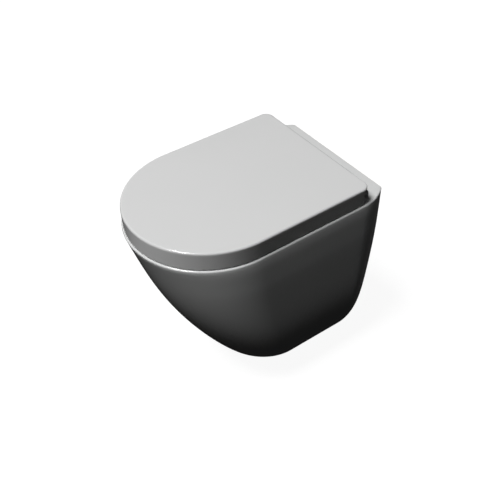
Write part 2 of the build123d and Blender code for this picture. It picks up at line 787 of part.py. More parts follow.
# ---------------------------------------------------------------- lid
with BuildPart() as lid_shell:
    for level_z, inset in ((lid_bottom_z, lid_draft), (lid_top_z, 0.0)):
        with BuildSketch(Plane.XY.offset(level_z)) as outline:
            with BuildLine():
                draw_seat_outline(inset, lid_rear_y)
            make_face()
            fillet(outline.vertices().group_by(Axis.Y)[-1], lid_corner_radius - inset)
    loft(ruled=True)
    fillet(lid_shell.faces().sort_by(Axis.Z)[-1].edges(), lid_edge_radius)
    with BuildSketch(Plane.XY.offset(lid_bottom_z)) as inside:
        with BuildLine():
            draw_seat_outline(lid_skirt + lid_draft, lid_rear_y - lid_skirt)
        make_face()
        fillet(inside.vertices().group_by(Axis.Y)[-1], lid_corner_radius - lid_skirt - lid_draft)
    extrude(amount=lid_height - lid_top_wall, mode=Mode.SUBTRACT)
    # behind the hinge line only a shallow rear wall is left, so the bar passes below it
    with BuildSketch(Plane.YZ.offset(-lid_half_width)):
        with Locations((hinge_y, lid_top_z - lid_rear_wall)):
            Rectangle(
                2 * lid_corner_radius,
                lid_height,
                align=(Align.MIN, Align.MAX),
            )
    extrude(amount=2 * lid_half_width, mode=Mode.SUBTRACT)
    for side in sides.values():
        centre_x = side * lid_knuckle_x
        with BuildSketch(Plane.YZ.offset(centre_x - knuckle_width / 2)):
            with Locations((hinge_y, hinge_z)):
                Circle(knuckle_radius)
            with Locations((hinge_y, hinge_z)):
                Rectangle(
                    knuckle_radius,
                    lid_top_z - lid_top_wall - hinge_z,
                    align=(Align.MAX, Align.MIN),
                )
        extrude(amount=knuckle_width)
    add(knuckle(lid_knuckle_x, 2 * knuckle_width, shaft_radius), mode=Mode.SUBTRACT)
    add(knuckle(-lid_knuckle_x, 2 * knuckle_width, bush_radius), mode=Mode.SUBTRACT)
lid_shell.part.label = "lid_shell"

with BuildPart() as lid_bush:
    add(knuckle(-lid_knuckle_x, knuckle_width, bush_radius))
    add(knuckle(-lid_knuckle_x, knuckle_width, running_bore), mode=Mode.SUBTRACT)
lid_bush.part.label = "lid_bush"

with BuildPart() as lid_buffers:
    with BuildSketch(Plane.XY.offset(seat_top_z + touch_gap)):
        for x, y, _ in buffer_places:
            with Locations((x, y)):
                Circle(lid_buffer_radius)
    lid_buffer_height = lid_top_z - lid_top_wall - seat_top_z - touch_gap
    extrude(amount=lid_buffer_height, taper=lid_buffer_taper)
    fillet(lid_buffers.edges().group_by(Axis.Z)[0], lid_buffer_edge_radius)
lid_buffers.part.label = "lid_buffers"

# ---------------------------------------------------------------- write every piece
os.makedirs("parts", exist_ok=True)
built = [
    ceramic_pan, ceramic_bowl, ceramic_trap, flush_socket, fixing_sleeves, clamp_screws,
    flush_guide, post_washers, post_plates, hinge_posts, post_bolts, expansion_sleeves,
    expansion_nuts, hinge_bar, seat_ring, seat_bush, seat_buffers, lid_shell, lid_bush,
    lid_buffers,
]
pieces = [builder.part for builder in built]
for group in (dampers, shafts, buttons, latches, springs):
    pieces += group.values()
for piece in pieces:
    export_step(piece, f"parts/{piece.label}.step")
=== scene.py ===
# %% [markdown]
# # A wall-hung toilet with a wrap-over lid
# The real object is a fired china pan that hangs on two wall studs. A thick plastic lid and a
# seat ring close over it, and both turn on a hinge bar that clips to two posts on the deck.
# The engineering model fixes every size, so this lesson loads it first and builds the
# finished surfaces around it. It could also be modelled from nothing, but then the lid would
# have to be fitted to the hinge by eye.

# %% Load the engineering model
import json
from math import atan, cos, pi, radians, sin, sqrt, tau

import bmesh
import bpy
import numpy as np
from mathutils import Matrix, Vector

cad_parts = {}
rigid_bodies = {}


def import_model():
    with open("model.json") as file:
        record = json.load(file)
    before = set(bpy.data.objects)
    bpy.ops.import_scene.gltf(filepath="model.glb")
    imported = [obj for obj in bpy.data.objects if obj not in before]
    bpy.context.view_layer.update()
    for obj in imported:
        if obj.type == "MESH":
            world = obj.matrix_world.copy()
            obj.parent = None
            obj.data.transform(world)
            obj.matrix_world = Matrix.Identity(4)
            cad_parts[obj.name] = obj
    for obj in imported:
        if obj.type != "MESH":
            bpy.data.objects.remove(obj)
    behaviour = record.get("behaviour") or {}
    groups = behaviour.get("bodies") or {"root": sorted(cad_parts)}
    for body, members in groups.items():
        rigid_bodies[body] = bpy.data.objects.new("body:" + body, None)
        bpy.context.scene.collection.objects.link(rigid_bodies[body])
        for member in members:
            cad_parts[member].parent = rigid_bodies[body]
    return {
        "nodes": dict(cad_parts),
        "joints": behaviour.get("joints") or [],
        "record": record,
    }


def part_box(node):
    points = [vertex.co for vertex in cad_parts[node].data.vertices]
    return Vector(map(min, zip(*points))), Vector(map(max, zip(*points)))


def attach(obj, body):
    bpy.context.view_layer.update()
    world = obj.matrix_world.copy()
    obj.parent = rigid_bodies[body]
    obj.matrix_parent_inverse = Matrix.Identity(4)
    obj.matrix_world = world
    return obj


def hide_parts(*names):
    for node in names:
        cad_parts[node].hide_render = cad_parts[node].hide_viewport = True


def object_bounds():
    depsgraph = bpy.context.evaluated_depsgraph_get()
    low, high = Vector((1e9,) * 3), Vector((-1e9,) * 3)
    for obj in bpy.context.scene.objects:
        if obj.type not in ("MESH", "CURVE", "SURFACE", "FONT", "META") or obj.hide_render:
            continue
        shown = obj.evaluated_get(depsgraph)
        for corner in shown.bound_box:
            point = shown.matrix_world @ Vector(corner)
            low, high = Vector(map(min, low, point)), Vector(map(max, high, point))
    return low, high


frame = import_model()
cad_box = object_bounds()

MM = 0.001
pan_low, pan_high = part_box("ceramic_pan")
lid_low, lid_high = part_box("lid_shell")
bar_low, bar_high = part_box("hinge_bar")
hinge = next(joint for joint in frame["joints"] if joint["name"] == "seat_hinge")
hinge_y, hinge_z = hinge["pos_m"][1:]
print("nodes:", len(frame["nodes"]), "hinge line at", hinge_y, hinge_z)

# %% [markdown]
# ## From rings of points to a skin
# Sanitary ware is drawn as a stack of level curves, and a mould maker still works from such
# sections. A mesh can be made the same way: each level is a ring with the same number of
# points, and neighbouring rings are joined with quads. A subdivided box would need many
# loops before it held a D-shape, while a ring holds it exactly.

# %% Ring helpers
def skin(name, rings, capped=True):
    """A closed mesh from rings of points. Uncapped, the last ring joins the first."""
    mesh = bmesh.new()
    rows = [[mesh.verts.new(point) for point in ring] for ring in rings]
    pairs = list(zip(rows, rows[1:]))
    if not capped:
        pairs.append((rows[-1], rows[0]))
    for lower, upper in pairs:
        for i in range(len(lower)):
            j = (i + 1) % len(lower)
            mesh.faces.new((lower[i], lower[j], upper[j], upper[i]))
    if capped:
        mesh.faces.new(list(reversed(rows[0])))
        mesh.faces.new(rows[-1])
    bmesh.ops.recalc_face_normals(mesh, faces=mesh.faces)
    data = bpy.data.meshes.new(name)
    mesh.to_mesh(data)
    mesh.free()
    piece = bpy.data.objects.new(name, data)
    bpy.context.scene.collection.objects.link(piece)
    return piece


def apply_modifiers(piece):
    """Keeps the mesh that the modifiers give, and takes the modifiers off."""
    shaped = bpy.data.meshes.new_from_object(
        piece.evaluated_get(bpy.context.evaluated_depsgraph_get())
    )
    piece.modifiers.clear()
    piece.data = shaped


def cut(piece, tool):
    """Cuts a tool out of a piece and deletes the tool."""
    step = piece.modifiers.new("cut", "BOOLEAN")
    step.operation = "DIFFERENCE"
    step.solver = "EXACT"
    step.object = tool
    apply_modifiers(piece)
    bpy.data.objects.remove(tool)


def soften(piece, width, crease=35, segments=3):
    """Rounds the sharp edges a little, as a mould does."""
    step = piece.modifiers.new("soft edges", "BEVEL")
    step.width = width
    step.segments = segments
    step.limit_method = "ANGLE"
    step.angle_limit = radians(crease)
    step.harden_normals = False
    apply_modifiers(piece)


def shade(piece, crease=35):
    """Smooth shading that keeps the edges sharper than the crease angle."""
    piece.data.polygons.foreach_set("use_smooth", [True] * len(piece.data.polygons))
    piece.data.set_sharp_from_angle(angle=radians(crease))


def rod(name, start, end, radius, sides=64):
    """A round tool or pin between two points."""
    start, end = Vector(start), Vector(end)
    along = (end - start).normalized()
    across = along.orthogonal().normalized()
    up = along.cross(across)
    turn = [tau * i / sides for i in range(sides)]
    spokes = [across * (radius * cos(a)) + up * (radius * sin(a)) for a in turn]
    return skin(name, [[start + s for s in spokes], [end + s for s in spokes]])


def block(name, low, high):
    """A rectangular tool between two corners."""
    x0, y0, z0 = low
    x1, y1, z1 = high
    ring = [(x0, y0), (x1, y0), (x1, y1), (x0, y1)]
    return skin(name, [[(x, y, z) for x, y in ring] for z in (z0, z1)])


def extrude_across(name, outline, x0, x1):
    """A profile drawn in the side view, as (y, z) points, carried from x0 to x1."""
    return skin(name, [[(x, y, z) for y, z in outline] for x in (x0, x1)])


print("ring helpers ready")

# %% [markdown]
# ## The outlines of the china body
# Seen from above, the body has a flat back at the wall, sides that swell out from it on an
# arc, straight flanks and an elliptical nose. The same outline shrinks towards the foot. The
# shares at seven heights are the designer's, and one smooth curve of the fourth degree is
# fitted to each set, because joining them with straight steps would leave bands in the gloss.
# The flat back has evenly spaced points too, because the bowl takes its bearings from them.

# %% Body outlines by height
rim_z, foot_z = pan_high.z, pan_low.z
pan_height = rim_z - foot_z
pan_half_width, pan_reach = 181.5 * MM, 543.5 * MM
wall_half_width = 153.5 * MM
nose_length = 193 * MM
side_curve = 76 * MM
wall_overrun = 15 * MM
body_levels = np.array([
    (0.00, 1.000, 1.000, 1.000, 1.000),
    (0.11, 1.006, 0.974, 0.995, 0.962),
    (0.25, 1.006, 0.938, 0.990, 0.911),
    (0.45, 0.994, 0.880, 0.948, 0.835),
    (0.66, 0.963, 0.802, 0.845, 0.755),
    (0.86, 0.887, 0.707, 0.727, 0.679),
    (1.00, 0.741, 0.632, 0.656, 0.626),
])
trends = [np.polyfit(body_levels[:, 0], body_levels[:, k], 4) for k in (1, 2, 3, 4)]
NOSE_POINTS, SIDE_POINTS, ARC_POINTS, WALL_POINTS = 96, 22, 14, 12


def body_ring(z, inset=0.0, wall_end=0.0):
    """The body's outline at a height, from the wall round the nose and back."""
    share = (rim_z - z) / pan_height
    width, reach, wall, nose = (np.polyval(trend, share) for trend in trends)
    half = min(width * pan_half_width, pan_high.x) - inset
    front = max(-reach * pan_reach, pan_low.y) + inset
    wall_half = wall * wall_half_width - inset
    nose_run = nose * nose_length - inset
    narrowing = half - wall_half
    radius = (side_curve**2 + narrowing**2) / (2 * narrowing)
    turn = 2 * atan(narrowing / side_curve)
    corner_x = wall_half - wall_end * np.tan(turn)
    right = [(corner_x * (i + 0.5) / WALL_POINTS, wall_end) for i in range(WALL_POINTS)]
    right.append((corner_x, wall_end))
    for i in range(1, ARC_POINTS):
        angle = turn * (1 - i / ARC_POINTS)
        right.append((half - radius * (1 - cos(angle)), -side_curve + radius * sin(angle)))
    nose_y = front + nose_run
    for i in range(SIDE_POINTS):
        right.append((half, -side_curve + (nose_y + side_curve) * i / SIDE_POINTS))
    for i in range(NOSE_POINTS // 2):
        angle = pi * i / NOSE_POINTS
        right.append((half * cos(angle), nose_y - nose_run * sin(angle)))
    left = [(-x, y) for x, y in reversed(right)]
    return [Vector((x, y, z)) for x, y in right + [(0.0, front)] + left]


print("points in a ring:", len(body_ring(0.0)))

# %% [markdown]
# ## The bowl
# The bowl is a stack of ellipses that drifts back and narrows to the sump. Its points must
# face the points of the body's outline, or the quads of the deck between them would twist,
# so each point of an ellipse is taken at the bearing of its partner on the outline.

# %% Bowl rings
bowl_levels = np.array([
    (0.0, 131.0, 171.0, 321.0),
    (60.0, 125.0, 164.0, 319.0),
    (120.0, 105.0, 138.0, 312.0),
    (170.0, 78.0, 104.0, 300.0),
    (205.0, 52.0, 64.0, 291.0),
])
outer_ring = body_ring(rim_z)
bowl_centre_y = -bowl_levels[0, 3] * MM
bearings = [np.arctan2(p.y - bowl_centre_y, p.x) for p in outer_ring]


def bowl_ring(depth, grown=0.0, z=None):
    """The bowl's ellipse at a depth in millimetres below the rim."""
    level = [np.interp(depth, bowl_levels[:, 0], bowl_levels[:, k]) for k in (1, 2, 3)]
    half_width, half_length = level[0] * MM + grown, level[1] * MM + grown
    ring = []
    for bearing in bearings:
        reach = 1 / sqrt((cos(bearing) / half_width) ** 2 + (sin(bearing) / half_length) ** 2)
        x, y = reach * cos(bearing), reach * sin(bearing) - level[2] * MM
        ring.append(Vector((x, y, rim_z - depth * MM if z is None else z)))
    return ring


print("bowl opening:", 2 * bowl_levels[0, 1], "by", 2 * bowl_levels[0, 2], "mm")

# %% [markdown]
# ## The china body
# The caster pours slip into a mould and drains it, which leaves an even shell with soft
# corners. The outside is one skin here: up the foot, over the rim, across the deck and down
# into the bowl. The hollow behind it is a second solid that is cut away, as the plaster core
# leaves it, and the wall holes are bored last. A single cut-out body is simpler to keep
# closed than an inside and an outside that are stitched together by hand.

# %% The outer skin of the body
rim_round, foot_round, bowl_round = 3.5 * MM, 9 * MM, 7 * MM
shell_wall, deck_thickness = 11 * MM, 17 * MM
SKIRT_ROWS, ROUND_ROWS, DECK_ROWS, BOWL_ROWS = 44, 7, 5, 24


def rounding(radius, rows=ROUND_ROWS):
    """Pairs of drop and inset that turn a square edge into a quarter circle."""
    steps = [pi / 2 * i / rows for i in range(rows + 1)]
    return [(radius * (1 - sin(a)), radius * (1 - cos(a))) for a in steps]


rings = []
for drop, inset in reversed(rounding(foot_round)):
    rings.append(body_ring(foot_z + drop, inset))
skirt_low, skirt_high = foot_z + foot_round, rim_z - rim_round
for row in range(1, SKIRT_ROWS):
    rings.append(body_ring(skirt_low + (skirt_high - skirt_low) * row / SKIRT_ROWS))
for drop, inset in rounding(rim_round):
    rings.append(body_ring(rim_z - drop, inset))
deck_edge = rings[-1]
bowl_edge = bowl_ring(0.0, bowl_round)
for row in range(1, DECK_ROWS):
    blend = row / DECK_ROWS
    rings.append([p.lerp(q, blend) for p, q in zip(deck_edge, bowl_edge)])
for drop, inset in reversed(rounding(bowl_round)):
    rings.append(bowl_ring(drop / MM, inset))
lining_depth, lining_skin = 190.0, 0.5 * MM
for depth in np.linspace(2 * bowl_round / MM, lining_depth, BOWL_ROWS):
    rings.append(bowl_ring(depth, -lining_skin))
pan_china = skin("pan_china", rings)
print("outer skin:", len(pan_china.data.polygons), "faces")

# %% [markdown]
# ## The hollow, the rear wall and the bores
# Behind the glaze, the body is open towards the wall, so that the frame's pipes have room.
# A solid rear wall carries the two studs and the flush inlet. The tools for these cuts are
# plain rods and blocks, and only what they leave behind shows.

# %% Cut the hollow and the bores
hollow_rings = [
    body_ring(z, shell_wall, wall_overrun)
    for z in np.linspace(foot_z + shell_wall, rim_z - deck_thickness, BOWL_ROWS)
]
hollow = skin("hollow", hollow_rings)
lining_wall = 1.0 * MM
lining_steps = np.linspace(0.0, lining_depth - lining_wall / MM, BOWL_ROWS)
lining = [bowl_ring(depth, lining_wall) for depth in lining_steps]
cut(hollow, skin("lining", lining))
rear_wall, rear_wall_bottom = 24 * MM, -40 * MM
cut(hollow, block(
    "rear_wall",
    (-pan_half_width, -rear_wall, rear_wall_bottom),
    (pan_half_width, 2 * wall_overrun, rim_z),
))
stud_x, boss_radius, boss_length = 90 * MM, 23 * MM, 77 * MM
for side in (-1, 1):
    x = side * stud_x
    cut(hollow, rod("boss", (x, -boss_length, 0), (x, 2 * wall_overrun, 0), boss_radius))
cut(pan_china, hollow)
stud_hole, stud_hole_depth = 12 * MM, 72.3 * MM
key_hole, key_y, key_depth = 6 * MM, -58 * MM, 24 * MM
inlet_z, socket_hole, socket_depth = 35 * MM, 37.8 * MM, 45.3 * MM
flush_bore, flush_reach = 20 * MM, 190 * MM
post_hole, post_hole_depth, post_x = 7 * MM, 34 * MM, 77.5 * MM
for side in (-1, 1):
    x = side * stud_x
    cut(pan_china, rod("stud_hole", (x, wall_overrun, 0), (x, -stud_hole_depth, 0), stud_hole))
    cut(pan_china, rod("key_hole", (x, key_y, 0), (x, key_y, -key_depth), key_hole))
    x = side * post_x
    bottom = rim_z - post_hole_depth
    cut(pan_china, rod("post_hole", (x, hinge_y, rim_z + MM), (x, hinge_y, bottom), post_hole))
cut(pan_china, rod(
    "socket_hole", (0, wall_overrun, inlet_z), (0, -socket_depth, inlet_z), socket_hole
))
cut(pan_china, rod(
    "flush_hole", (0, -socket_depth, inlet_z), (0, -flush_reach, inlet_z), flush_bore
))
shade(pan_china)
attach(pan_china, "pan")
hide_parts("ceramic_pan")
print("china body:", len(pan_china.data.polygons), "faces")

# %% [markdown]
# ## The lid
# The lid wraps over the seat like a shallow box. It is pressed from thermoset plastic, so the
# walls lean in a little towards the bottom to leave the mould, and the top edge is round.
# Behind the hinge line the skirt stops short, so the hinge bar can pass under it. One ring
# carries all of that: every point knows how far down its wall goes. The rear edge is drawn
# flush with the back of the knuckles that hang below it.

# %% Lid outline
lid_half_width = 180 * MM
lid_nose = 191 * MM
lid_corner = 20 * MM
lid_draft, lid_edge, lid_skirt, lid_top_wall = 1.5 * MM, 4.5 * MM, 4 * MM, 5 * MM
lid_rear_wall, lid_step = 8 * MM, 3 * MM
lid_top, lid_bottom = lid_high.z, lid_low.z
lid_rear_y = lid_high.y
lid_front_y = -541 * MM
CORNER_POINTS, FLANK_POINTS, BACK_POINTS = 20, 26, 24


def d_ring(half_width, front_y, rear_y, nose, corner):
    """A D-shaped outline as (x, y): round rear corners, flanks and an elliptical nose."""
    nose_y = front_y + nose
    right = []
    for i in range(BACK_POINTS // 2):
        right.append(((half_width - corner) * (i + 0.5) / (BACK_POINTS / 2), rear_y))
    for i in range(CORNER_POINTS):
        angle = pi / 2 * (1 - i / CORNER_POINTS)
        right.append((
            half_width - corner + corner * cos(angle),
            rear_y - corner + corner * sin(angle),
        ))
    flank = rear_y - corner - nose_y
    for i in range(FLANK_POINTS):
        right.append((half_width, rear_y - corner - flank * i / FLANK_POINTS))
    for i in range(NOSE_POINTS // 2):
        angle = pi * i / NOSE_POINTS
        right.append((half_width * cos(angle), nose_y - nose * sin(angle)))
    left = [(-x, y) for x, y in reversed(right)]
    return right + [(0.0, front_y)] + left


def lid_ring(inset):
    """The lid's outline, drawn in by an inset."""
    corner = max(lid_corner - inset, MM)
    return d_ring(
        lid_half_width - inset, lid_front_y + inset, lid_rear_y - inset, lid_nose - inset, corner
    )


def wall_bottom(y):
    """The height of the lid's lower edge: deep ahead of the hinge line, shallow behind it."""
    share = min(max((y - hinge_y + lid_step) / lid_step, 0.0), 1.0)
    share = share * share * (3 - 2 * share)
    return lid_bottom + share * (lid_top - lid_rear_wall - lid_bottom)


print("points in a lid ring:", len(lid_ring(0.0)))

# %% [markdown]
# ## The lid's skin
# The rings run from the middle of the top, over the round edge, down the outside, round the
# lower lip and up the inside to the flat ceiling. The top gets two rings close together at
# the start of the round edge, so the flat face stays flat when it is shaded smoothly.

# %% Lid skin
LID_WALL_ROWS, LIP_ROWS = 12, 4
lip, ceiling_round, ceiling_drop = 1.2 * MM, 0.6 * MM, 0.4 * MM
lid_middle, lid_border, edge_guard, ceiling_middle = 60 * MM, 25 * MM, 2 * MM, 40 * MM
lid_rings = []


def add_lid_ring(inset, height):
    """height(y) gives the z of each point."""
    lid_rings.append([Vector((x, y, height(y))) for x, y in lid_ring(inset)])


for inset in (lid_middle, lid_border, lid_edge + edge_guard):
    add_lid_ring(inset, lambda y: lid_top)
for drop, inset in reversed(rounding(lid_edge)):
    add_lid_ring(inset, lambda y: lid_top - drop)
for row in range(1, LID_WALL_ROWS + 1):
    share = row / LID_WALL_ROWS
    add_lid_ring(
        lid_draft * share,
        lambda y: (lid_top - lid_edge) * (1 - share) + (wall_bottom(y) + lip) * share,
    )
for step in range(1, 2 * LIP_ROWS):
    angle = pi * step / (2 * LIP_ROWS)
    inset = lid_draft + lid_skirt / 2 * (1 - cos(angle))
    add_lid_ring(inset, lambda y: wall_bottom(y) + lip * (1 - sin(angle)))
ceiling = lid_top - lid_top_wall
for row in range(LID_WALL_ROWS):
    share = row / LID_WALL_ROWS
    add_lid_ring(
        lid_draft + lid_skirt,
        lambda y: (wall_bottom(y) + lip) * (1 - share) + (ceiling - ceiling_drop) * share,
    )
for inset in (lid_draft + lid_skirt + ceiling_round, ceiling_middle):
    add_lid_ring(inset, lambda y: ceiling)
lid_cover = skin("lid_cover", lid_rings)
shade(lid_cover)
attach(lid_cover, "lid")
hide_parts("lid_shell")
print("lid:", len(lid_cover.data.polygons), "faces")

# %% [markdown]
# ## Knuckles under the lid
# Two knuckles hang from the lid's ceiling and turn on the hinge pins. In side view each is a
# disc with a web above it, so the profile is drawn once as (y, z) points and carried across.
# A bevel then gives the small radius that every moulded edge has.

# %% Lid knuckles
knuckle_radius, knuckle_width = 13 * MM, 18 * MM
seat_knuckle_x, lid_knuckle_x = 102 * MM, 121 * MM
pin_radius, bush_radius = 4 * MM, 6 * MM
mould_edge = 0.8 * MM


def arc_about_hinge(radius, first, last, points=40):
    """Points on a circle about the hinge line, by angle in degrees from the wall side."""
    turns = np.radians(np.linspace(first, last, points))
    return [(hinge_y + radius * cos(a), hinge_z + radius * sin(a)) for a in turns]


def make_knuckle(name, profile, centre_x, bore, body):
    """One knuckle, bored for its pin or bush."""
    half = knuckle_width / 2
    piece = extrude_across(name, profile, centre_x - half, centre_x + half)
    soften(piece, mould_edge)
    start = (centre_x - knuckle_width, hinge_y, hinge_z)
    end = (centre_x + knuckle_width, hinge_y, hinge_z)
    cut(piece, rod("bore", start, end, bore))
    shade(piece)
    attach(piece, body)
    return piece


web_top = ceiling + mould_edge
lid_profile = arc_about_hinge(knuckle_radius, 180, 450)
lid_profile += [(hinge_y, web_top), (hinge_y - knuckle_radius, web_top)]
lid_knuckles = [
    make_knuckle("lid_knuckle_left", lid_profile, -lid_knuckle_x, bush_radius, "lid"),
    make_knuckle("lid_knuckle_right", lid_profile, lid_knuckle_x, pin_radius, "lid"),
]
for piece in lid_knuckles:
    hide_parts("lid_shell")
print("lid knuckles:", [piece.name for piece in lid_knuckles])

# %% [markdown]
# ## The seat ring
# The ring is a D outside and an ellipse inside. Its top falls gently towards the hole, and
# both edges are round. Every ring of points is a mix of the D and the ellipse, so the quads
# flow from the flank to the opening. The last ring joins the first, because the section of a
# seat closes on itself.

# %% Seat ring skin
seat_side_gap = 3 * MM
seat_inset = lid_draft + lid_skirt + seat_side_gap
seat_corner, seat_rear_y = 10 * MM, -93 * MM
hole_half_width, hole_half_length, hole_y = 112 * MM, 153 * MM, -324 * MM
seat_top, seat_bottom = 107 * MM, 83.5 * MM
seat_round, hole_round, under_round, dish = 6 * MM, 8 * MM, 1.5 * MM, 1.8 * MM
UNDER_ROWS = 3


def seat_outer(inset):
    """The seat's outer D, drawn in by an inset."""
    return d_ring(
        lid_half_width - seat_inset - inset,
        lid_front_y + seat_inset + inset,
        seat_rear_y - inset,
        lid_nose - seat_inset - inset,
        seat_corner,
    )


seat_bearings = [np.arctan2(y - hole_y, x) for x, y in seat_outer(0.0)]


def seat_section(blend, z, inset=0.0, grown=0.0):
    """A ring of points between the outer D (blend 0) and the hole's ellipse (blend 1)."""
    ring = []
    for (x, y), bearing in zip(seat_outer(inset), seat_bearings):
        a, b = hole_half_width + grown, hole_half_length + grown
        reach = 1 / sqrt((cos(bearing) / a) ** 2 + (sin(bearing) / b) ** 2)
        hole_x, hole_edge_y = reach * cos(bearing), hole_y + reach * sin(bearing)
        ring.append(Vector((x + (hole_x - x) * blend, y + (hole_edge_y - y) * blend, z)))
    return ring


sections = []
for drop, inset in rounding(under_round, UNDER_ROWS):
    sections.append(seat_section(0, seat_bottom + drop, inset))
for share in (0.25, 0.5, 0.75):
    height = seat_top - seat_bottom - seat_round - under_round
    sections.append(seat_section(0, seat_bottom + under_round + height * share))
for drop, inset in rounding(seat_round):
    sections.append(seat_section(0, seat_top - drop, inset))
for blend in (0.12, 0.25, 0.4, 0.55, 0.7, 0.84, 0.94):
    fall = dish * blend * blend
    sections.append(seat_section(blend, seat_top - fall, seat_round, hole_round))
for drop, inset in reversed(rounding(hole_round)):
    sections.append(seat_section(1, seat_top - dish - drop, 0, inset))
for share in (0.3, 0.6, 0.9):
    height = seat_top - dish - hole_round - seat_bottom - under_round
    sections.append(seat_section(1, seat_bottom + under_round + height * (1 - share)))
for drop, inset in rounding(under_round, UNDER_ROWS):
    sections.append(seat_section(1, seat_bottom + drop, 0, inset))
for blend in (0.9, 0.5, 0.1):
    sections.append(seat_section(blend, seat_bottom, under_round, under_round))
seat_cover = skin("seat_cover", sections, capped=False)
print("seat ring:", len(seat_cover.data.polygons), "faces")

# %% [markdown]
# ## The groove and the arms of the seat
# A shallow groove under the ring keeps the section even, so that it doesn't sink as it
# cures. It is left out where the rubber buffers sit. Two arms reach back to the hinge pins.

# %% Groove and seat arms
rib_width, groove_depth, overrun = 9 * MM, 6 * MM, MM
land_half_length, land_half_width = 24 * MM, 19 * MM
land_places = ((146 * MM, -200 * MM, 0), (122 * MM, -430 * MM, 38))
groove_sides = [
    seat_section(0, seat_bottom - overrun, rib_width),
    seat_section(0, seat_bottom + groove_depth, rib_width),
    seat_section(1, seat_bottom + groove_depth, 0, rib_width),
    seat_section(1, seat_bottom - overrun, 0, rib_width),
]
groove = skin("groove", groove_sides, capped=False)
for side in (-1, 1):
    for x, y, turn in land_places:
        land = block(
            "land",
            (-land_half_length, -land_half_width, seat_bottom - 2 * overrun),
            (land_half_length, land_half_width, seat_bottom + 2 * groove_depth),
        )
        land.rotation_euler.z = radians(side * turn)
        land.location = (side * x, y, 0)
        cut(groove, land)
cut(seat_cover, groove)
shade(seat_cover)
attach(seat_cover, "seat")
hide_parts("seat_ring")
arm_front_y = seat_rear_y - seat_round
arm_above, arm_below = 4 * MM, 8 * MM
arm_profile = arc_about_hinge(knuckle_radius, 218, 522)
arm_profile += [(arm_front_y, hinge_z + arm_above), (arm_front_y, hinge_z - arm_below)]
seat_arms = [
    make_knuckle("seat_arm_left", arm_profile, -seat_knuckle_x, pin_radius, "seat"),
    make_knuckle("seat_arm_right", arm_profile, seat_knuckle_x, bush_radius, "seat"),
]
for piece in seat_arms:
    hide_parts("seat_ring")
print("seat ring with groove:", len(seat_cover.data.polygons), "faces")

# %% [markdown]
# ## The hinge bar
# The bar hides the soft-close dampers. It is one moulding with a round back on a flat base,
# two windows for the knuckles and a square pocket at each end for the release button. It is
# carried along from its side profile and cut like the real tool would core it.

# %% Hinge bar
barrel, bar_half, base_rise = 17 * MM, bar_high.x, 4 * MM
bar_bottom, base_top = bar_low.z, bar_low.z + base_rise
base_behind_barrel = 2 * MM
base_rear = hinge_y + barrel + base_behind_barrel
bar_profile = [(base_rear, bar_bottom), (base_rear, base_top), (hinge_y + barrel, base_top)]
bar_profile += arc_about_hinge(barrel, 0, 180, 48)
bar_profile += [(hinge_y - barrel, bar_bottom)]
bar_body = extrude_across("hinge_bar_body", bar_profile, -bar_half, bar_half)
window_inner, window_outer = 92 * MM, 131 * MM
button_low, button_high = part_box("release_button_right")
button_gap = 0.3 * MM
pocket_depth = 17 * MM
bar_edge = 0.6 * MM
# radius and depth of the two steps that fit over a post's foot and its neck
socket_steps = ((11.6 * MM, 2.3 * MM), (5.6 * MM, 7.1 * MM))
latch_from, latch_to = 65 * MM, 160.5 * MM
latch_half_width, latch_depth = 7.8 * MM, 4.2 * MM
for side in (-1, 1):
    cut(bar_body, block(
        "window",
        (min(side * window_inner, side * window_outer), hinge_y - 2 * barrel, base_top),
        (max(side * window_inner, side * window_outer), hinge_y + 2 * barrel, lid_top),
    ))
    pocket_x = (side * (bar_half - pocket_depth), side * (bar_half + overrun))
    cut(bar_body, block(
        "button_pocket",
        (min(pocket_x), button_low.y - button_gap, button_low.z - button_gap),
        (max(pocket_x), button_high.y + button_gap, button_high.z + button_gap),
    ))
soften(bar_body, bar_edge)
for side in (-1, 1):
    x = side * post_x
    below = bar_bottom - overrun
    for radius, depth in socket_steps:
        top = bar_bottom + depth
        cut(bar_body, rod("post_socket", (x, hinge_y, below), (x, hinge_y, top), radius))
    slot_x = (side * latch_from, side * latch_to)
    cut(bar_body, block(
        "latch_slot",
        (min(slot_x), hinge_y - latch_half_width, below),
        (max(slot_x), hinge_y + latch_half_width, bar_bottom + latch_depth),
    ))
shade(bar_body)
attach(bar_body, "hinge_unit")
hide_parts("hinge_bar")
print("hinge bar:", len(bar_body.data.polygons), "faces")

# %% [markdown]
# ## Sums on sockets
# A finish is a little arithmetic on noise: a base value plus a share of a pattern. Written
# with nodes alone that is hard to read, so one small class lets an output of a node take
# part in a Python sum, and another adds any node with its settings and inputs.

# %% Shader helpers
class Wire:
    """An output of a node. Sums and products of wires add Math nodes."""

    def __init__(self, finish, socket):
        self.finish = finish
        self.socket = socket

    def join(self, operation, first, second):
        return self.finish.node("Math", {"operation": operation}, {0: first, 1: second})

    def __add__(self, other):
        return self.join("ADD", self, other)

    def __sub__(self, other):
        return self.join("SUBTRACT", self, other)

    def __rsub__(self, other):
        return self.join("SUBTRACT", other, self)

    def __mul__(self, other):
        return self.join("MULTIPLY", self, other)

    def __gt__(self, other):
        return self.join("GREATER_THAN", self, other)

    __radd__ = __add__
    __rmul__ = __mul__


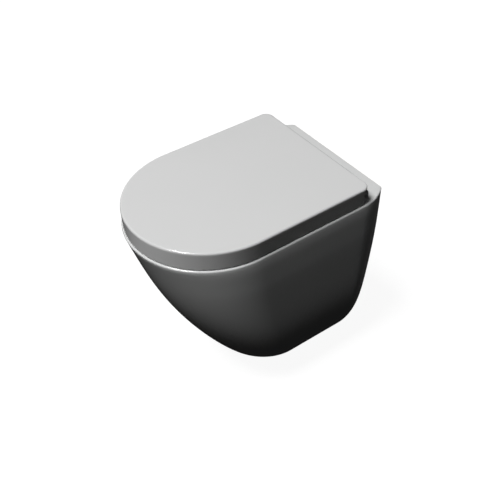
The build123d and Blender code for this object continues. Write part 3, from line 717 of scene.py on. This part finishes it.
class Finish:
    """A material in the making, around one Principled shader."""

    def __init__(self, name, **constants):
        self.material = bpy.data.materials.new(name)
        self.material.use_nodes = True
        self.nodes = self.material.node_tree.nodes
        self.links = self.material.node_tree.links
        self.shader = self.nodes["Principled BSDF"]
        for socket, value in constants.items():
            self.shader.inputs[socket.replace("_", " ")].default_value = value
        self.place = self.node("TexCoord", output="Object")

    def node(self, kind, settings=None, inputs=None, output=0):
        """Adds a node, sets it up, feeds its sockets and gives one output."""
        node = self.nodes.new("ShaderNode" + kind)
        for setting, value in (settings or {}).items():
            setattr(node, setting, value)
        for socket, value in (inputs or {}).items():
            self.fill(node.inputs[socket], value)
        return Wire(self, node.outputs[output])

    def fill(self, socket, value):
        """Links a wire to a socket, or sets a plain value on it."""
        if isinstance(value, Wire):
            self.links.new(value.socket, socket)
        else:
            socket.default_value = value

    def noise(self, scale, detail=2.0, place=None):
        """Soft noise between 0 and 1, at a scale in waves per metre."""
        inputs = {"Vector": place or self.place, "Scale": scale, "Detail": detail}
        return self.node("TexNoise", inputs=inputs)

    def stretched(self, scale):
        """The place scaled along each axis, for marks that run one way."""
        inputs = {0: self.place, 1: scale}
        return self.node("VectorMath", {"operation": "MULTIPLY"}, inputs)

    def colours(self, factor, first, second):
        """A mix of two colours."""
        inputs = {0: factor, 6: first, 7: second}
        return self.node("Mix", {"data_type": "RGBA"}, inputs, output=2)

    def surface(self, **varying):
        """Feeds what changes over the surface: colour, roughness, coat weight or bump."""
        height = varying.pop("bump", None)
        strength = varying.pop("strength", 0.1)
        if height is not None:
            inputs = {"Strength": strength, "Distance": 0.5 * MM, "Height": height}
            varying["Normal"] = self.node("Bump", inputs=inputs)
        for socket, value in varying.items():
            self.fill(self.shader.inputs[socket.replace("_", " ")], value)
        return self.material


print("shader helpers ready")

# %% [markdown]
# ## Glazed china
# Vitreous china is white clay under a glass glaze. The glaze is never quite even: it pools
# in slow patches that look a touch cooler, and its surface has a long, faint ripple. Where the
# body was fired standing on its wall face there is no glaze, so the bare clay is rough and
# cream. A mask on the distance from the wall switches between the two.

# %% Glazed china
def glazed_china(bare_from):
    """Glazed up to a place along Y, and bare clay beyond it."""
    china = Finish("glazed_china", Coat_Roughness=0.03, IOR=1.52)
    pools = china.noise(7.0)
    ripple = china.noise(42.0, 1.0) * 0.7 + china.noise(160.0, 1.0) * 0.3
    white = (0.86, 0.86, 0.85, 1)
    cool = (0.82, 0.835, 0.835, 1)
    clay = (0.74, 0.69, 0.6, 1)
    glaze = china.colours(pools, white, cool)
    roughness = 0.09 + 0.06 * china.noise(18.0)
    weight = 0.4 + 0.2 * pools
    y = china.node("SeparateXYZ", inputs={0: china.place}, output=1)
    bare = y > bare_from
    return china.surface(
        Base_Color=china.colours(bare, glaze, clay),
        Roughness=roughness + 0.6 * bare,
        Coat_Weight=weight * (1 - bare),
        bump=ripple,
        strength=0.06,
    )


print("finish:", glazed_china.__name__)

# %% [markdown]
# ## Pressed thermoset
# Lids of this kind are pressed from urea powder in a polished steel mould. The face is almost
# as glossy as glaze but a little softer, with a very fine orange peel, and wiping leaves
# hairline marks that run mostly along the lid.

# %% Pressed thermoset
def pressed_thermoset(name="pressed_thermoset", tone=0.85, dull=0.13):
    press = Finish(name, Coat_Roughness=0.08, IOR=1.5)
    hairlines = press.noise(1.0, 4.0, press.stretched((900.0, 60.0, 900.0)))
    peel = press.noise(320.0, 1.0)
    cloud = press.noise(5.0)
    bright = (tone, tone, tone, 1)
    cool = (tone - 0.02, tone - 0.015, tone - 0.02, 1)
    colour = press.colours(cloud, bright, cool)
    roughness = dull + 0.05 * hairlines + 0.05 * press.noise(22.0)
    return press.surface(
        Base_Color=colour,
        Roughness=roughness,
        Coat_Weight=0.15 + 0.2 * cloud,
        bump=0.7 * peel + 0.3 * hairlines,
        strength=0.025,
    )


print("finish:", pressed_thermoset.__name__)

# %% [markdown]
# ## Grey mouldings, rubber and steel
# The hidden pieces get finishes too, since they show when the seat is lifted off. Nylon parts
# have a dull spark-eroded grain. The buffers are soft and powdery. The turned steel has fine
# grooves around its axis, made here from noise stretched flat, so it varies with height only.

# %% Small-part finishes
def grained_nylon():
    nylon = Finish("grained_nylon", IOR=1.46)
    grain = nylon.noise(700.0, 3.0)
    colour = nylon.colours(nylon.noise(30.0), (0.42, 0.43, 0.44, 1), (0.36, 0.37, 0.385, 1))
    return nylon.surface(
        Base_Color=colour, Roughness=0.45 + 0.15 * grain, bump=grain, strength=0.15
    )


def buffer_rubber():
    rubber = Finish("buffer_rubber", IOR=1.48)
    grain = rubber.noise(500.0, 2.0)
    colour = rubber.colours(rubber.noise(60.0), (0.56, 0.56, 0.55, 1), (0.48, 0.48, 0.475, 1))
    return rubber.surface(
        Base_Color=colour, Roughness=0.65 + 0.2 * grain, bump=grain, strength=0.2
    )


def turned_steel():
    steel = Finish("turned_steel", Metallic=1.0)
    grooves = steel.noise(1.0, 3.0, steel.stretched((40.0, 40.0, 3200.0)))
    colour = steel.colours(steel.noise(45.0), (0.62, 0.62, 0.61, 1), (0.52, 0.52, 0.52, 1))
    return steel.surface(
        Base_Color=colour, Roughness=0.2 + 0.2 * grooves, bump=grooves, strength=0.12
    )


print("finishes:", grained_nylon.__name__, buffer_rubber.__name__, turned_steel.__name__)

# %% [markdown]
# ## Giving every piece its finish
# The record names a material slot for every node. One table from slot to finish covers the
# engineering nodes that still show and the new pieces alike, so nothing is left plain.

# %% Assign the finishes
bare_clay_from = -0.4 * MM
finishes = {
    "glaze": glazed_china(bare_clay_from),
    "seat_white": pressed_thermoset(),
    "button_white": pressed_thermoset("satin_button", 0.72, 0.3),
    "grey_plastic": grained_nylon(),
    "rubber": buffer_rubber(),
    "steel": turned_steel(),
}


def give(piece, material):
    """Puts one material on the whole piece."""
    piece.data.materials.clear()
    piece.data.materials.append(material)


for subpart in frame["record"]["subparts"]:
    node = frame["nodes"][subpart["node"]]
    give(node, finishes[subpart["material_slot"]])
give(pan_china, finishes["glaze"])
for piece in (lid_cover, seat_cover, bar_body, *lid_knuckles, *seat_arms):
    give(piece, finishes["seat_white"])
print("finishes given:", len(finishes))

# %% [markdown]
# ## Floor, light and camera
# A product like this is shown on a pale sweep under one large soft lamp. The lamp hangs high
# in front, so the lid is bright and the body below it falls into shadow, which draws its
# shape. Two weak lamps behind and beside it keep the other sides readable. The floor sits
# below the pan, because the pan hangs on a wall. It is the bottom of a plain white room, which
# only the camera sees and the bounce light leaves out.

# %% Stage
floor_drop = 70 * MM
floor_size = 9.0
floor = block(
    "floor",
    (-floor_size, -floor_size, foot_z - floor_drop),
    (floor_size, floor_size, 2 * floor_size),
)
floor.visible_diffuse = False
floor.visible_glossy = False
floor.visible_shadow = False
paper = Finish("pale_floor", Roughness=0.9)
paper.fill(paper.shader.inputs["Emission Color"], (1.0, 1.0, 1.0, 1))
paper.fill(paper.shader.inputs["Emission Strength"], 0.93)
shade_of_paper = paper.colours(paper.noise(3.0), (0.2, 0.2, 0.2, 1), (0.18, 0.18, 0.18, 1))
give(floor, paper.surface(Base_Color=shade_of_paper))
middle = (cad_box[0] + cad_box[1]) / 2


def lamp(name, direction, distance, size, power):
    """A square soft lamp that looks at the middle of the object."""
    light = bpy.data.lights.new(name, "AREA")
    light.shape = "SQUARE"
    light.size = size
    light.energy = power
    holder = bpy.data.objects.new(name, light)
    towards = Vector(direction).normalized()
    holder.location = middle + towards * distance
    holder.rotation_euler = towards.to_track_quat("Z", "Y").to_euler()
    bpy.context.scene.collection.objects.link(holder)


lamp("key_lamp", (0.035, -0.42, 0.91), 8.0, 2.4, 547.0)
lamp("wall_side_lamp", (-0.2, 1.0, 0.0), 3.0, 2.0, 10.0)
lamp("left_side_lamp", (-1.0, 0.1, 0.05), 3.0, 2.0, 8.0)
world = bpy.data.worlds.new("studio")
world.use_nodes = True
backdrop = world.node_tree.nodes["Background"]
backdrop.inputs["Color"].default_value = (1, 1, 1, 1)
backdrop.inputs["Strength"].default_value = 0.008
bpy.context.scene.world = world
bpy.context.scene.view_settings.view_transform = "Standard"
print("stage set, middle at", [round(v, 3) for v in middle])

# %% [markdown]
# ## Camera
# The camera looks down at 42 degrees from the front right corner. A 59 mm lens keeps the far
# corner of the deck a little smaller than the near one. It is placed by azimuth and height,
# because those two angles are what a viewer would name.

# %% Camera
azimuth, elevation = radians(53.40), radians(42.33)
aim = middle + Vector((0, 24 * MM, 16 * MM))
camera_distance, lens = 1.9014, 59.12
camera_data = bpy.data.cameras.new("camera")
camera_data.lens = lens
camera_data.sensor_width = 36.0
camera = bpy.data.objects.new("camera", camera_data)
back = Vector((
    sin(azimuth) * cos(elevation), -cos(azimuth) * cos(elevation), sin(elevation)
))
camera.location = aim + back * camera_distance
camera.rotation_euler = (pi / 2 - elevation, 0, azimuth)
bpy.context.scene.collection.objects.link(camera)
bpy.context.scene.camera = camera
print("camera at", [round(v, 3) for v in camera.location])
